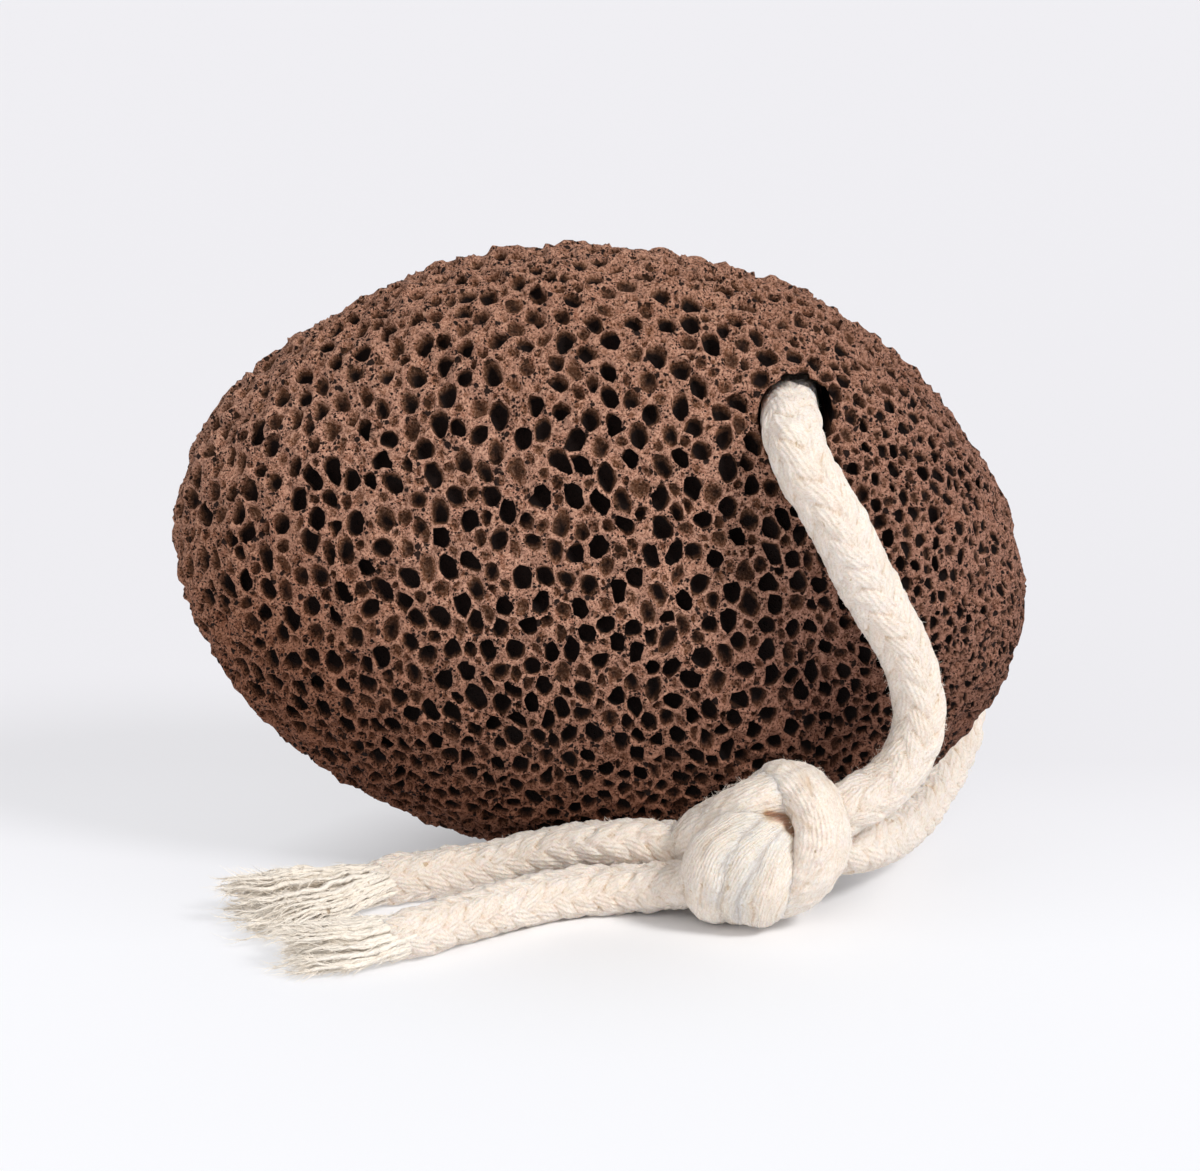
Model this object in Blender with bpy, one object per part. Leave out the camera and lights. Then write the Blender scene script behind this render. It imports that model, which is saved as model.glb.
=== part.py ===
"""Pumice foot stone on a knotted cotton cord.

An oval, foamy volcanic stone stands on its long edge, on a small worn flat.  A hole is
drilled through it near the right-hand end.  A braided cord passes through the hole, both
strands meet in a knot in front of the stone, and two tails with frayed ends lie on the
ground to the left.

Frame: metres, +Z up, origin on the ground under the middle of the stone, +X along its
length and +Y through its thickness, away from the knot.
"""
import math

import bmesh
import bpy
import numpy as np
from mathutils import Matrix, Vector

MM = 0.001

# --- driving dimensions of the stone ------------------------------------------------
HALF_LENGTH = 49.1 * MM          # along the long axis, which dips to the right
HALF_WIDTH = 36.3 * MM
HALF_THICKNESS = 22.0 * MM
DIP = math.radians(-6.8)         # slope of the long axis
ROUNDNESS = 2.3                  # exponent of the cross-section; 2 is an ellipse
CENTRE = Vector((0.25 * MM, 0.0, 35.1 * MM))
# waves round the outline: how many, how high as a share of the radius, where the first is
OUTLINE_WAVES = ((3, 0.009, -45.0), (4, 0.008, -8.0), (5, 0.003, -27.0), (6, 0.007, -13.0))

# --- pores --------------------------------------------------------------------------
PORE_SPACING_COARSE = 3.9 * MM   # upper left
PORE_SPACING_FINE = 2.85 * MM    # right-hand end and underside
PORE_DEPTH = (0.4, 1.05)         # as a share of the pore's radius
WALL_ROUGHNESS = 0.16 * MM       # height of the walls between pores varies by this
SOLID_FOOT_HEIGHT = 2.2 * MM     # no pores open below this height
SEED = 11

# --- drilled hole -------------------------------------------------------------------
HOLE_RADIUS = 4.4 * MM
HOLE_X = 21.7 * MM
HOLE_Z = 55.3 * MM
HOLE_SIDES = 32

# --- cord ---------------------------------------------------------------------------
CORD_RADIUS = 3.0 * MM
TAIL_RADIUS = 2.6 * MM
KNOT_CORD_RADIUS = 2.8 * MM
GAP = 0.5 * MM                   # clear space between neighbouring solids
KNOT_GAP = 1.6 * MM              # between the knot's bulging skin and a tail
CORD_STEP = 4.2 * MM             # between sections of the tubes

# Routes of the cord's centre line, in millimetres.
# The loop runs from the knot up the front, through the hole and down the back.
LOOP_IN_KNOT = ((22.5, -25.8, 10.2), (25.8, -25.6, 11.6))
LOOP_ROUTE = (
    (28.6, -25.2, 13.4), (31.8, -24.4, 15.1), (34.4, -23.3, 18.0), (35.8, -22.3, 21.9),
    (35.3, -21.9, 26.2), (33.7, -22.0, 30.9), (30.7, -22.9, 36.3), (27.9, -23.9, 42.0),
    (25.2, -24.5, 47.3), (22.7, -23.4, 51.4), (21.4, -20.0, 54.2), (21.3, -15.0, 55.3),
    (21.5, -8.0, 55.2), (21.7, 0.0, 55.0), (21.9, 8.0, 55.2), (22.4, 15.0, 55.3),
    (23.6, 21.2, 53.4), (26.0, 25.2, 48.6), (29.2, 26.6, 42.4), (32.6, 26.8, 36.0),
    (36.0, 26.4, 29.8), (39.3, 25.4, 23.8), (42.0, 23.2, 18.2), (43.5, 19.4, 13.0),
    (43.2, 14.4, 9.3), (41.3, 9.0, 6.9), (38.8, 3.0, 5.2), (36.3, -4.0, 4.5),
    (33.2, -11.0, 4.8), (30.6, -17.2, 6.0),
)
LOOP_BACK_IN_KNOT = ((27.6, -21.6, 7.0), (23.8, -24.2, 7.8))

# The tails run from their frayed ends to the knot.
UPPER_FRAY_ROUTE = ((-42.0, -28.6, 2.8), (-34.4, -26.2, 2.8))
UPPER_TAIL_ROUTE = (
    (-26.5, -22.6, 2.75), (-23.0, -20.9, 2.75), (-18.5, -18.8, 2.75), (-13.5, -17.2, 2.9),
    (-8.5, -16.8, 3.9), (-3.5, -17.7, 5.3), (1.5, -18.9, 6.3), (6.0, -19.7, 6.6),
    (9.8, -20.9, 6.8),
)
UPPER_IN_KNOT = (
    (12.6, -23.0, 9.6), (15.2, -25.0, 12.2), (17.6, -26.0, 13.8), (20.2, -25.4, 14.2),
    (23.4, -23.4, 12.6),
)
LOWER_FRAY_ROUTE = ((-36.0, -43.6, 2.2), (-29.5, -42.6, 2.6))
LOWER_TAIL_ROUTE = (
    (-23.5, -40.4, 2.75), (-19.0, -36.9, 2.75), (-14.0, -32.6, 2.75), (-9.0, -28.6, 2.75),
    (-4.0, -25.6, 2.75), (1.0, -24.4, 2.8), (6.0, -24.9, 3.3), (10.0, -26.0, 4.2),
)
LOWER_IN_KNOT = ((13.6, -26.4, 5.8), (17.6, -25.6, 7.6))

# Turns of the knot that show: a right-hand turn and three side by side in front.
RIGHT_TURN = (
    (19.6, -21.5, 12.6), (21.4, -24.4, 15.0), (23.6, -27.4, 14.4), (24.7, -29.4, 11.5),
    (24.1, -30.0, 8.4), (22.4, -29.4, 5.5), (20.4, -27.8, 3.9), (18.6, -25.2, 3.5),
)
FRONT_LEFT_TURN = (
    (21.4, -24.6, 9.8), (18.8, -27.8, 10.6), (15.4, -29.4, 10.4), (12.9, -30.0, 8.6),
    (12.0, -29.9, 5.9), (12.4, -28.2, 3.6), (13.8, -25.2, 3.2),
)
FRONT_MIDDLE_TURN = (
    (21.6, -25.4, 9.0), (19.6, -28.4, 10.0), (17.0, -30.6, 9.6), (15.2, -31.2, 7.2),
    (14.6, -30.6, 4.8), (15.1, -28.6, 3.4), (16.0, -25.2, 3.2),
)
FRONT_RIGHT_TURN = (
    (21.4, -26.4, 8.0), (20.0, -28.8, 8.9), (18.6, -31.0, 8.2), (17.8, -31.8, 6.0),
    (17.3, -31.0, 3.9), (17.7, -28.4, 3.2), (18.4, -25.0, 3.2),
)
KNOT_CORE = Vector((18.2, -26.2, 8.2)) * MM
KNOT_CORE_RADII = Vector((6.4, 5.0, 5.4)) * MM
KNOT_CELL = 0.9 * MM             # cell of the knot's merged skin
KNOT_KEEP = 0.32                 # share of that skin's faces kept


# --- scene and materials --------------------------------------------------------------
def clear_scene():
    for item in list(bpy.data.objects):
        bpy.data.objects.remove(item, do_unlink=True)


def make_material(name, colour, roughness):
    material = bpy.data.materials.new(name)
    material.use_nodes = True
    shader = material.node_tree.nodes["Principled BSDF"]
    shader.inputs["Base Color"].default_value = (*colour, 1.0)
    shader.inputs["Roughness"].default_value = roughness
    shader.inputs["Metallic"].default_value = 0.0
    return material


def add_object(name, data, material):
    item = bpy.data.objects.new(name, data)
    data.materials.append(material)
    bpy.context.scene.collection.objects.link(item)
    return item


# --- the stone's outer shape ------------------------------------------------------------
def outline_scale(angle):
    """Radius of the wavy outline as a share of the plain ellipse's, at a polar angle."""
    total = 1.0
    for count, height, first in OUTLINE_WAVES:
        total += height * math.cos(count * (angle - math.radians(first)))
    return total


def on_surface(direction, wavy=True):
    """Point of the outer shape, from the stone's centre, along a direction."""
    along = direction.x * math.cos(DIP) + direction.z * math.sin(DIP)
    across = -direction.x * math.sin(DIP) + direction.z * math.cos(DIP)
    face = math.hypot(along / HALF_LENGTH, across / HALF_WIDTH)
    if wavy:
        face /= outline_scale(math.atan2(direction.z, direction.x))
    depth = abs(direction.y) / HALF_THICKNESS
    return direction * (depth ** ROUNDNESS + face ** ROUNDNESS) ** (-1.0 / ROUNDNESS)


def pore_spacing(point):
    """Pores are coarse at the upper left and fine at the right and underneath."""
    right = min(max((point.x - 12.0 * MM) / (22.0 * MM), 0.0), 1.0)
    under = min(max((-point.z - 14.0 * MM) / (20.0 * MM), 0.0), 1.0)
    fineness = max(right, 0.7 * under)
    return PORE_SPACING_COARSE + (PORE_SPACING_FINE - PORE_SPACING_COARSE) * fineness


def scatter_pores(random):
    """Pore centres spread evenly over the plain shape, none closer than its spacing."""
    kept = np.empty((0, 3))
    for row in random.normal(size=(60000, 3)):
        point = on_surface(Vector(row).normalized(), wavy=False)
        if len(kept) and np.min(np.sum((kept - point) ** 2, axis=1)) < pore_spacing(point) ** 2:
            continue
        kept = np.vstack([kept, point])
    return kept


def build_stone(material):
    """Each pore is a pit with a sharp bottom; the walls between pores keep the outer shape."""
    random = np.random.default_rng(SEED)
    net = bmesh.new()
    for row in scatter_pores(random):
        net.verts.new(row)
    bmesh.ops.convex_hull(net, input=net.verts)
    bmesh.ops.triangulate(net, faces=net.faces)
    net.normal_update()

    body = bmesh.new()
    corners = {}
    for face in net.faces:
        point = on_surface(face.calc_center_median().normalized())
        point += face.normal * random.uniform(-WALL_ROUGHNESS, WALL_ROUGHNESS)
        corners[face] = body.verts.new(CENTRE + point)
    pits = {}
    for vert in net.verts:
        rim = [corners[face].co for face in vert.link_faces]
        middle = sum(rim, Vector()) / len(rim)
        radius = sum((co - middle).length for co in rim) / len(rim)
        depth = radius * random.uniform(*PORE_DEPTH)
        if middle.z < SOLID_FOOT_HEIGHT:
            depth = 0.0
        point = CENTRE + on_surface(vert.co.normalized())
        pits[vert] = body.verts.new(point - vert.normal * depth)
    for edge in net.edges:
        first, second = (corners[face] for face in edge.link_faces)
        for vert in edge.verts:
            body.faces.new((pits[vert], first, second))
    net.free()
    bmesh.ops.recalc_face_normals(body, faces=body.faces)

    # worn flat that the stone stands on
    cut = bmesh.ops.bisect_plane(
        body, geom=body.verts[:] + body.edges[:] + body.faces[:],
        plane_co=(0.0, 0.0, 0.0), plane_no=(0.0, 0.0, -1.0), clear_outer=True)
    rim = [item for item in cut["geom_cut"] if isinstance(item, bmesh.types.BMEdge)]
    bmesh.ops.triangle_fill(body, edges=rim, use_beauty=True)
    bmesh.ops.recalc_face_normals(body, faces=body.faces)

    mesh = bpy.data.meshes.new("stone")
    body.to_mesh(mesh)
    body.free()
    stone = add_object("stone", mesh, material)
    drill_hole(stone, material)
    return stone


def drill_hole(stone, material):
    drill = bmesh.new()
    bmesh.ops.create_cone(
        drill, cap_ends=True, segments=HOLE_SIDES, radius1=HOLE_RADIUS, radius2=HOLE_RADIUS,
        depth=3.0 * HALF_THICKNESS, matrix=Matrix.Rotation(math.radians(90.0), 4, "X"))
    mesh = bpy.data.meshes.new("hole_cutter")
    drill.to_mesh(mesh)
    drill.free()
    cutter = add_object("hole_cutter", mesh, material)
    cutter.location = (HOLE_X, 0.0, HOLE_Z)
    cutter.hide_render = True
    cutter.display_type = "WIRE"
    boolean = stone.modifiers.new("hole", "BOOLEAN")
    boolean.operation = "DIFFERENCE"
    boolean.solver = "EXACT"
    boolean.object = cutter


# --- cord ----------------------------------------------------------------------------
def smooth_route(points, step=0.4 * MM):
    """Smooth curve through the points (mm), read at an even step; returns metres."""
    knots = [Vector(point) * MM for point in points]
    knots = [2 * knots[0] - knots[1]] + knots + [2 * knots[-1] - knots[-2]]
    dense = []
    for a, b, c, d in zip(knots, knots[1:], knots[2:], knots[3:]):
        for i in range(20):
            t = i / 20
            dense.append(0.5 * (2 * b + (c - a) * t + (2 * a - 5 * b + 4 * c - d) * t ** 2
                                + (3 * b - a - 3 * c + d) * t ** 3))
    dense.append(knots[-2])
    lengths = np.cumsum([0.0] + [(b - a).length for a, b in zip(dense, dense[1:])])
    samples = np.linspace(0.0, lengths[-1], max(2, round(lengths[-1] / step) + 1))
    axes = [np.interp(samples, lengths, [co[k] for co in dense]) for k in range(3)]
    return [Vector(co) for co in zip(*axes)]


def route_length(points):
    curve = smooth_route(points)
    return sum((b - a).length for a, b in zip(curve, curve[1:]))


def stretch(points, start, end, step):
    """The part of a route between two distances along it, in even steps."""
    curve = smooth_route(points)
    lengths = np.cumsum([0.0] + [(b - a).length for a, b in zip(curve, curve[1:])])
    samples = np.linspace(start, end, max(2, round((end - start) / step) + 1))
    axes = [np.interp(samples, lengths, [co[k] for co in curve]) for k in range(3)]
    return [Vector(co) for co in zip(*axes)]


def build_tube(name, path, radius, material):
    data = bpy.data.curves.new(name, "CURVE")
    data.dimensions = "3D"
    data.bevel_depth = radius
    data.bevel_resolution = 3
    data.use_fill_caps = True
    spline = data.splines.new("POLY")
    spline.points.add(len(path) - 1)
    for point, co in zip(spline.points, path):
        point.co = (*co, 1.0)
    spline.use_smooth = True
    return add_object(name, data, material)


def section_axes(path):
    """Sideways and upward unit vectors at each point of a path."""
    frames = []
    for i in range(len(path)):
        along = (path[min(i + 1, len(path) - 1)] - path[max(i - 1, 0)]).normalized()
        helper = Vector((0.0, 1.0, 0.0)) if abs(along.y) < 0.8 else Vector((1.0, 0.0, 0.0))
        side = along.cross(helper if abs(along.z) > 0.7 else Vector((0.0, 0.0, 1.0)))
        side.normalize()
        frames.append((side, side.cross(along).normalized()))
    return frames


def add_swept_body(body, path, half_sizes, sides=10):
    """Closed body through elliptical sections; half_sizes holds each one's two radii."""
    rings = []
    for co, (side, up), (wide, high) in zip(path, section_axes(path), half_sizes):
        ring = []
        for k in range(sides):
            angle = 2.0 * math.pi * k / sides
            offset = side * (wide * math.cos(angle)) + up * (high * math.sin(angle))
            ring.append(body.verts.new(co + offset))
        rings.append(ring)
    for near, far in zip(rings, rings[1:]):
        for k in range(sides):
            body.faces.new((near[k], near[(k + 1) % sides], far[(k + 1) % sides], far[k]))
    body.faces.new(rings[0])
    body.faces.new(rings[-1])


def build_knot(material):
    """Turns, core and the ends of the four strands, merged into one skin."""
    body = bmesh.new()
    upper = UPPER_TAIL_ROUTE + UPPER_IN_KNOT
    lower = LOWER_TAIL_ROUTE + LOWER_IN_KNOT
    loop = LOOP_IN_KNOT + LOOP_ROUTE + LOOP_BACK_IN_KNOT
    loop_end = route_length(loop)
    paths = [(smooth_route(turn, 1.5 * MM), KNOT_CORD_RADIUS)
             for turn in (RIGHT_TURN, FRONT_LEFT_TURN, FRONT_MIDDLE_TURN, FRONT_RIGHT_TURN)]
    paths.append((stretch(upper, route_length(UPPER_TAIL_ROUTE), route_length(upper), 1.5 * MM),
                  TAIL_RADIUS))
    paths.append((stretch(lower, route_length(LOWER_TAIL_ROUTE), route_length(lower), 1.5 * MM),
                  TAIL_RADIUS))
    paths.append((stretch(loop, 0.0, entry_distance(), 1.5 * MM), CORD_RADIUS))
    paths.append((stretch(loop, loop_end - exit_distance(), loop_end, 1.5 * MM), CORD_RADIUS))
    for path, radius in paths:
        add_swept_body(body, path, [(radius, radius)] * len(path), sides=16)
    core = Matrix.Translation(KNOT_CORE) @ Matrix.Diagonal((*KNOT_CORE_RADII, 1.0))
    bmesh.ops.create_icosphere(body, subdivisions=3, radius=1.0, matrix=core)
    bmesh.ops.recalc_face_normals(body, faces=body.faces)
    mesh = bpy.data.meshes.new("knot")
    body.to_mesh(mesh)
    body.free()
    knot = add_object("knot", mesh, material)
    skin = knot.modifiers.new("skin", "REMESH")
    skin.mode = "VOXEL"
    skin.voxel_size = KNOT_CELL
    lighter = knot.modifiers.new("lighter", "DECIMATE")
    lighter.ratio = KNOT_KEEP
    lighter.use_collapse_triangulate = True
    return knot


def entry_distance():
    """Length of the front strand inside the knot."""
    return route_length(LOOP_IN_KNOT + LOOP_ROUTE[:1])


def exit_distance():
    """Length of the back strand inside the knot."""
    return route_length(LOOP_ROUTE[-1:] + LOOP_BACK_IN_KNOT)


def build_loop(material):
    whole = LOOP_IN_KNOT + LOOP_ROUTE + LOOP_BACK_IN_KNOT
    start = entry_distance() + GAP
    end = route_length(whole) - exit_distance() - GAP
    return build_tube("rope_loop", stretch(whole, start, end, CORD_STEP), CORD_RADIUS, material)


def build_tail(name, fray_name, fray_route, tail_route, inner_route, fray_sizes, material):
    """A tail ends a gap short of the knot, and its frayed end starts a gap beyond it."""
    whole = fray_route + tail_route + inner_route
    fray_end = route_length(fray_route + tail_route[:1])
    tail_end = fray_end + route_length(tail_route) - KNOT_GAP
    path = stretch(whole, fray_end, tail_end, CORD_STEP)
    build_tube(name, path, TAIL_RADIUS, material)

    body = bmesh.new()
    fray_length = fray_end - 2.0 * GAP
    path = stretch(whole, 0.0, fray_length, fray_length / (len(fray_sizes) - 1))
    add_swept_body(body, path, fray_sizes)
    bmesh.ops.recalc_face_normals(body, faces=body.faces)
    mesh = bpy.data.meshes.new(fray_name)
    body.to_mesh(mesh)
    body.free()
    for polygon in mesh.polygons:
        polygon.use_smooth = True
    add_object(fray_name, mesh, material)


def main():
    clear_scene()
    lava = make_material("pumice", (0.30, 0.17, 0.12), 0.95)
    cotton = make_material("cotton_cord", (0.86, 0.79, 0.71), 0.9)
    build_stone(lava)
    build_loop(cotton)
    build_knot(cotton)
    # half width and half height of each frayed end's sections, from the tip inwards
    upper_fray = [(5.2 * MM, 1.4 * MM), (6.0 * MM, 2.2 * MM), (5.2 * MM, 2.5 * MM),
                  (3.8 * MM, 2.5 * MM), (TAIL_RADIUS, TAIL_RADIUS)]
    lower_fray = [(1.8 * MM, 0.8 * MM), (2.9 * MM, 1.5 * MM), (3.2 * MM, 2.0 * MM),
                  (3.0 * MM, 2.4 * MM), (TAIL_RADIUS, TAIL_RADIUS)]
    build_tail("tail_upper", "frayed_end_upper", UPPER_FRAY_ROUTE, UPPER_TAIL_ROUTE,
               UPPER_IN_KNOT, upper_fray, cotton)
    build_tail("tail_lower", "frayed_end_lower", LOWER_FRAY_ROUTE, LOWER_TAIL_ROUTE,
               LOWER_IN_KNOT, lower_fray, cotton)


main()
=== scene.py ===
"""Looks of the pumice foot stone and its braided cotton cord.

The stone is modelled as rock foam: its outer shape with some thousands of stretched gas
bubbles opened at the surface. The cord is a round braid of twelve strands along the same
route as its CAD solids, with turns of the same braid for the knot, and loose yarns at its
ends. Lengths are in metres, unless a name or a comment says millimetres.
"""
import math

import bpy
import numpy as np
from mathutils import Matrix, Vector


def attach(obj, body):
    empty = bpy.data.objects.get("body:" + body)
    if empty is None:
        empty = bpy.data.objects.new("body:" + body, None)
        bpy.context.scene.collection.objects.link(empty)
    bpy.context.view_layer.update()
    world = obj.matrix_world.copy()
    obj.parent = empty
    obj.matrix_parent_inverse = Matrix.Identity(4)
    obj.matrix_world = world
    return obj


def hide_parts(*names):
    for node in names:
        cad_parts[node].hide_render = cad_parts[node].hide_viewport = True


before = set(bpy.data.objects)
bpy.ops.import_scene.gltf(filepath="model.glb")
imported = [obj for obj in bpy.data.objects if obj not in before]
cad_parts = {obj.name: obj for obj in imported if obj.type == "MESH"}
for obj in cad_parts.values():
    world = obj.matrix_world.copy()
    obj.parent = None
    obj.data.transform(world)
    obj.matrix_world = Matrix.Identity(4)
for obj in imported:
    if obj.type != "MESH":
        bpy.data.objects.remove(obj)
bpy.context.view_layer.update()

MM = 0.001

# --- camera, floor and light ---
CAMERA_RISE = math.radians(16.0)  # height of the camera above the horizon, as an angle
CAMERA_DISTANCE = 0.5
CAMERA_TARGET = Vector((0.0, 0.0, 0.0315))
FRAME_WIDTH = 0.13986  # width of the view at the target
SENSOR = 36.0  # mm
# the floor's glow is painted light, emitted by its material
STAGE_GLOW = 0.66  # the studio floor is lit from below a little
UNLIT_SPOT = (0.003, -0.024, 0.0)  # the floor isn't lit from below round this point
FLOOR_HALF_WIDTH = 2.5
FLOOR_FRONT, FLOOR_BACK = -1.5, 1.2
BACKDROP_BEND = 0.6  # radius of the curve from the floor to the backdrop
BACKDROP_TOP = 2.6
SKY_LIGHT = 0.37
# name, azimuth from the camera's side towards the right, rise, strength, softness, colour;
# angles in degrees
SUNS = (
    ("key", 56.0, 43.0, 2.2, 16.0, (1.0, 0.985, 0.96)),
    ("fill", -20.0, 28.0, 0.80, 45.0, (1.0, 0.99, 0.975)),
    ("top", 170.0, 70.0, 0.40, 60.0, (1.0, 1.0, 1.0)),
)

# --- stone: outer shape in mm, as in the CAD ---
HALF_LENGTH = 49.1
HALF_WIDTH = 36.3
HALF_THICKNESS = 22.0
DIP = math.radians(-6.8)
ROUNDNESS = 2.3
CENTRE = np.array((0.25, 0.0, 35.1))
OUTLINE_WAVES = ((3, 0.009, -45.0), (4, 0.008, -8.0), (5, 0.003, -27.0), (6, 0.007, -13.0))
HOLE_RADIUS = 4.4
HOLE_X, HOLE_Z = 21.7, 55.3
HOLLOW_FROM = (14.5, 41.0)  # x and z of a shallow hollow beside the cord
HOLLOW_TO = (30.0, 15.0)
HOLLOW_REACH = 6.5
HOLLOW_DEPTH = 1.2
UNEVENNESS = ((7.0, 0.24), (3.2, 0.15), (1.3, 0.07))  # wavelengths and sizes

# --- stone: pores, in mm ---
FLOW = math.radians(102.0)  # direction in which the bubbles are stretched
PORE_WALL = 0.25  # least thickness of the rock between two pores
VOXEL = 0.21
STONE_TRIANGLES = 196000
# cross radius from and to, longest stretch, tries, overlap allowed, deepest and
# shallowest centre as shares of the radius
PORE_CLASSES = (
    (0.72, 1.13, 1.85, 40000, 0.96, 0.90, -0.30),
    (0.44, 0.70, 1.60, 60000, 0.96, 0.88, -0.10),
    (0.26, 0.42, 1.45, 130000, 0.97, 0.85, 0.00),
)
LEAST_PORE = 0.24  # cross radius of the smallest pore that is modelled
LEAST_GAP = 0.12  # kept between the outlines of two pores
PACKING_CELL = 4.6  # wider than two pores reach
FLOW_SHRINK = 1.0 - 1.0 / 1.28  # distances between pores count less along the flow
DISHES = 8000  # wide shallow hollows between the pores

# --- stone: colours ---
ROCK_TONE = (0.86, 0.86, 0.86, 1.0)  # multiplies the whole rock's colour
# middle of the cord's painted shadow in the hollow beside it
HOLLOW_SHADOW_MIDDLE = (0.0245, -0.018, 0.026)
LOWER_LEFT = (-0.040, -0.012, 0.022)
# cells of pinholes in a metre, and the largest pinhole's radius as a share of its cell
PINHOLES = ((900.0, 0.50), (1700.0, 0.58), (3100.0, 0.60))

# --- cord: routes of the centre line and all sizes in mm, as in the CAD ---
CORD_RADIUS = 3.0
TAIL_RADIUS = 2.6
KNOT_CORD_RADIUS = 2.95
RIGHT_TURN_RADIUS = 3.1
STRANDS = 12
YARNS = 4  # side by side in a strand
LAY = 20.0  # length of one full turn of a strand
STRAND_LIFT = 0.17  # a strand rises this much where it passes over
STRAND_CROWN = 0.20
YARN_RELIEF = 0.07
TAPER = 4.0  # length over which an end narrows
TAIL_END = 0.78  # how much of its radius a narrowed end keeps
FULLNESS = 1.12  # the strands' tops, as a share of the radius
SQUEEZE = 0.26  # how much flatter the knot's turns are inside it
CORD_STEP = 0.20  # size of the skin's faces along the cord
CORD_SIDES = 96
HAIRS_PER_MM = 110.0
KNOT_HAIRS = 1.5  # times as many hairs on the knot
HAIR_WIDTH = 0.025  # half the width of a hair
STANDING_HAIRS = 0.28  # share of the hairs that stand off the cord
FRAY_YARNS = 150
FIBRES_PER_YARN = 45
FIBRE_WIDTH = 0.032  # half the width of a fibre in the frays
LOOP_IN_KNOT = ((22.5, -25.8, 10.2), (25.8, -25.6, 11.6))
LOOP_ROUTE = (
    (28.6, -25.2, 13.4), (31.8, -24.4, 15.1), (34.4, -23.3, 18.0), (35.8, -22.3, 21.9),
    (35.3, -21.9, 26.2), (33.7, -22.0, 30.9), (30.7, -22.9, 36.3), (27.9, -23.9, 42.0),
    (25.2, -24.5, 47.3), (22.7, -23.4, 51.4), (21.4, -20.0, 54.2), (21.3, -15.0, 55.3),
    (21.5, -8.0, 55.2), (21.7, 0.0, 55.0), (21.9, 8.0, 55.2), (22.4, 15.0, 55.3),
    (23.6, 21.2, 53.4), (26.0, 25.2, 48.6), (29.2, 26.6, 42.4), (32.6, 26.8, 36.0),
    (36.0, 26.4, 29.8), (39.3, 25.4, 23.8), (42.0, 23.2, 18.2), (43.5, 19.4, 13.0),
    (43.2, 14.4, 9.3), (41.3, 9.0, 6.9), (38.8, 3.0, 5.2), (36.3, -4.0, 4.5),
    (33.2, -11.0, 4.8), (30.6, -17.2, 6.0),
)
LOOP_BACK_IN_KNOT = ((27.6, -21.6, 7.0), (23.8, -24.2, 7.8))
UPPER_FRAY_ROUTE = ((-42.0, -28.6, 2.8), (-34.4, -26.2, 2.8))
UPPER_TAIL_ROUTE = (
    (-26.5, -22.6, 2.75), (-23.0, -20.9, 2.75), (-18.5, -18.8, 2.75), (-13.5, -17.2, 2.9),
    (-8.5, -16.8, 3.9), (-3.5, -17.7, 5.3), (1.5, -18.9, 6.3), (6.0, -19.7, 6.6),
    (9.8, -20.9, 6.8),
)
UPPER_IN_KNOT = (
    (12.6, -23.0, 9.6), (15.2, -25.0, 12.2), (17.6, -26.0, 13.8), (20.2, -25.4, 14.2),
    (23.4, -23.4, 12.6),
)
LOWER_FRAY_ROUTE = ((-36.0, -43.6, 2.2), (-29.5, -42.6, 2.6))
LOWER_TAIL_ROUTE = (
    (-23.5, -40.4, 2.75), (-19.0, -36.9, 2.75), (-14.0, -32.6, 2.75), (-9.0, -28.6, 2.75),
    (-4.0, -25.6, 2.75), (1.0, -24.4, 2.8), (6.0, -24.9, 3.3), (10.0, -26.0, 4.2),
)
LOWER_IN_KNOT = ((13.6, -26.4, 5.8), (17.6, -25.6, 7.6))
# distance along the loop in mm, and how thick the cord is there
LOOP_SWELL = ((0.0, 0.95), (13.0, 0.90), (25.0, 0.92), (36.0, 1.04), (50.0, 1.04), (62.0, 1.0))
RIGHT_TURN = (
    (19.6, -21.5, 12.6), (21.4, -24.4, 15.0), (23.6, -27.4, 14.4), (24.7, -29.4, 11.5),
    (24.1, -30.0, 8.4), (22.4, -29.4, 5.5), (20.4, -27.8, 3.9), (18.6, -25.2, 3.5),
)
FRONT_LEFT_TURN = (
    (21.4, -24.6, 9.8), (18.8, -27.8, 10.6), (15.4, -29.4, 10.4), (12.9, -30.0, 8.6),
    (12.0, -29.9, 5.9), (12.4, -28.2, 3.6), (13.8, -25.2, 3.2),
)
FRONT_MIDDLE_TURN = (
    (21.6, -25.4, 9.0), (19.6, -28.4, 10.0), (17.0, -30.6, 9.6), (15.2, -31.2, 7.2),
    (14.6, -30.6, 4.8), (15.1, -28.6, 3.4), (16.0, -25.2, 3.2),
)
FRONT_RIGHT_TURN = (
    (21.4, -26.4, 8.0), (20.0, -28.8, 8.9), (18.6, -31.0, 8.2), (17.8, -31.8, 6.0),
    (17.3, -31.0, 3.9), (17.7, -28.4, 3.2), (18.4, -25.0, 3.2),
)
KNOT_CORE = (18.2, -26.2, 8.2)
KNOT_CORE_RADII = (5.6, 4.0, 5.0)
# the fold on the front of the knot, painted with dark reddish shade: x and z, its reach, and the
# y of its two sides
KNOT_CREASE = ((18.6, 13.6), (20.4, 13.0), (21.5, 11.2), (21.7, 8.4), (21.3, 3.8))
CREASE_REACH = 0.55
CREASE_FRONT = (-31.4, -30.2)
CREASE_BACK = -24.0
# half width, shift to the front, lowest and highest offset at the tips, and the longest
# yarn's share of the route
UPPER_FAN = (7.0, 1.6, -2.4, 3.0, 0.92)
LOWER_FAN = (5.2, -2.2, -2.0, 2.0, 0.80)


# --- small helpers ---
def smoothstep(low, high, value):
    t = np.clip((value - low) / (high - low), 0.0, 1.0)
    return t * t * (3.0 - 2.0 * t)


def unit(rows):
    return rows / np.maximum(np.linalg.norm(rows, axis=-1, keepdims=True), 1e-12)


def distance_from_line(points, start, end):
    """Distance seen from the front: start and end are x and z."""
    span = np.subtract(end, start)
    face = points[:, [0, 2]] - np.array(start)
    share = np.clip(face @ span / (span @ span), 0.0, 1.0)
    return np.linalg.norm(face - share[:, None] * span, axis=1)


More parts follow.
